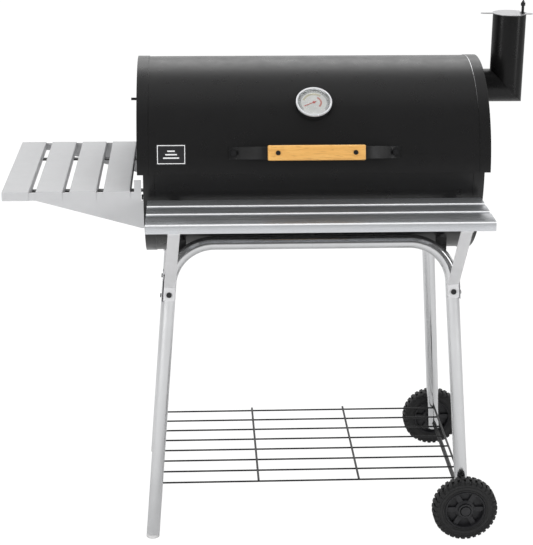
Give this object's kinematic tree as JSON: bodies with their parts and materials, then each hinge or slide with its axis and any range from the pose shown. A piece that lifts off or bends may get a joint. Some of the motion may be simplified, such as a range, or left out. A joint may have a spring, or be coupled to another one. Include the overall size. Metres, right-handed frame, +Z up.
{
  "type": "barrel smoker",
  "caption": "Black barrel smoker on a wheeled tube trolley, with a hinged lid, end chimney and damper, lid thermometer, side table, front shelf and wire bottom shelf.",
  "frame": {"origin": "on the ground, under the middle of the whole object's box", "axes": "+X from the side table towards the chimney and wheels, +Y from the front shelf towards the rear, +Z up"},
  "size_m": [1.1702, 0.6844, 1.208],
  "materials": {
    "black_enamel": "satin black heat-proof powder coat",
    "black_paint": "satin black paint",
    "bare_steel": "dull bare steel",
    "grate_wire": "grey porcelain enamel",
    "zinc": "zinc plated",
    "black_bolt": "black oxide",
    "handle_wood": "varnished light beech",
    "gauge_housing": "black",
    "gauge_bezel": "satin chrome",
    "gauge_dial": "matt off-white with a plain scale",
    "gauge_needle": "red",
    "gauge_glass": "clear",
    "emblem": "black plate with a silver rule",
    "silver_tube": "smooth bright galvanised tube",
    "silver_bracket": "silver paint",
    "foot_plastic": "light grey",
    "wheel_plastic": "charcoal",
    "tyre": "black rubber, lugged",
    "shelf_steel": "smooth bright sheet steel",
    "silver_paint": "silver powder coat"
  },
  "bodies": {
    "trolley": {"body_shell": "black_enamel", "body_end_cap_left": "black_enamel", "body_end_cap_right": "black_enamel", "grate_ledges": "black_enamel", "charcoal_grate": "grate_wire", "hinge_leaves_body": "black_enamel", "hinge_pins": "zinc", "front_frame_tube_left": "silver_tube", "front_frame_tube_right": "silver_tube", "rear_frame_tube_left": "silver_tube", "rear_frame_tube_right": "silver_tube", "frame_sleeves": "silver_tube", "front_leg_left": "silver_tube", "front_leg_right": "silver_tube", "rear_leg_left": "silver_tube", "rear_leg_right": "silver_tube", "leg_straps": "silver_bracket", "frame_screws": "black_bolt", "barrel_brackets": "black_enamel", "foot_plugs": "foot_plastic", "axle": "black_paint", "axle_caps": "wheel_plastic", "wire_shelf": "black_paint", "front_shelf_slats": "shelf_steel", "front_shelf_bracket_left": "silver_bracket", "front_shelf_bracket_right": "silver_bracket", "side_table_slats": "silver_paint", "side_table_gussets": "silver_paint", "side_table_rails": "black_paint", "shelf_screws": "black_bolt"},
    "lid": {"lid_shell": "black_enamel", "lid_end_cap_left": "black_enamel", "lid_end_cap_right": "black_enamel", "hinge_leaves_lid": "black_enamel", "chimney_stub": "black_enamel", "chimney_pipe": "black_enamel", "chimney_flange": "black_enamel", "damper_lug": "black_enamel", "damper_pivot_bolt": "black_bolt", "damper_wing_nut": "black_bolt", "vent_pivot": "zinc", "handle_bracket_left": "black_paint", "handle_bracket_right": "black_paint", "handle_grip": "handle_wood", "handle_bolts": "black_bolt", "thermometer_housing": "gauge_housing", "thermometer_bezel": "gauge_bezel", "thermometer_dial": "gauge_dial", "thermometer_glass": "gauge_glass", "thermometer_stem": "zinc", "emblem_plate": "emblem"},
    "damper": {"damper_plate": "bare_steel"},
    "vent": {"vent_shutter": "black_enamel"},
    "needle": {"thermometer_needle": "gauge_needle"},
    "wheel_front": {"wheel_rim_front": "wheel_plastic", "wheel_tyre_front": "tyre"},
    "wheel_rear": {"wheel_rim_rear": "wheel_plastic", "wheel_tyre_rear": "tyre"},
    "grate_left": {"cooking_grate_left": "grate_wire"},
    "grate_right": {"cooking_grate_right": "grate_wire"}
  },
  "joints": [
    {"name": "lid_hinge", "type": "hinge", "parent": "trolley", "child": "lid", "pos_m": [0.08642, 0.29617, 0.871], "axis": [-1, 0, 0], "range_deg": [0, 95]},
    {"name": "damper_swing", "type": "hinge", "parent": "lid", "child": "damper", "pos_m": [0.5629, 0.06425, 1.1765], "axis": [0, 0, 1], "range_deg": [0, 100]},
    {"name": "vent_turn", "type": "hinge", "parent": "lid", "child": "vent", "pos_m": [-0.29458, 0.07017, 0.957], "axis": [-1, 0, 0], "range_deg": [0, 45]},
    {"name": "needle_turn", "type": "hinge", "parent": "lid", "child": "needle", "pos_m": [0.08642, -0.09621, 1.01415], "axis": [0, 0.6157, -0.788], "range_deg": [0, 240]},
    {"name": "wheel_front_spin", "type": "hinge", "parent": "trolley", "child": "wheel_front", "pos_m": [0.44456, -0.18248, 0.075], "axis": [0, 1, 0], "continuous": true},
    {"name": "wheel_rear_spin", "type": "hinge", "parent": "trolley", "child": "wheel_rear", "pos_m": [0.44456, 0.32283, 0.075], "axis": [0, 1, 0], "continuous": true},
    {"name": "grate_left_lift", "type": "slide", "parent": "trolley", "child": "grate_left", "axis": [0, 0, 1], "range_m": [0, 0.02]},
    {"name": "grate_right_lift", "type": "slide", "parent": "trolley", "child": "grate_right", "axis": [0, 0, 1], "range_m": [0, 0.02]}
  ]
}
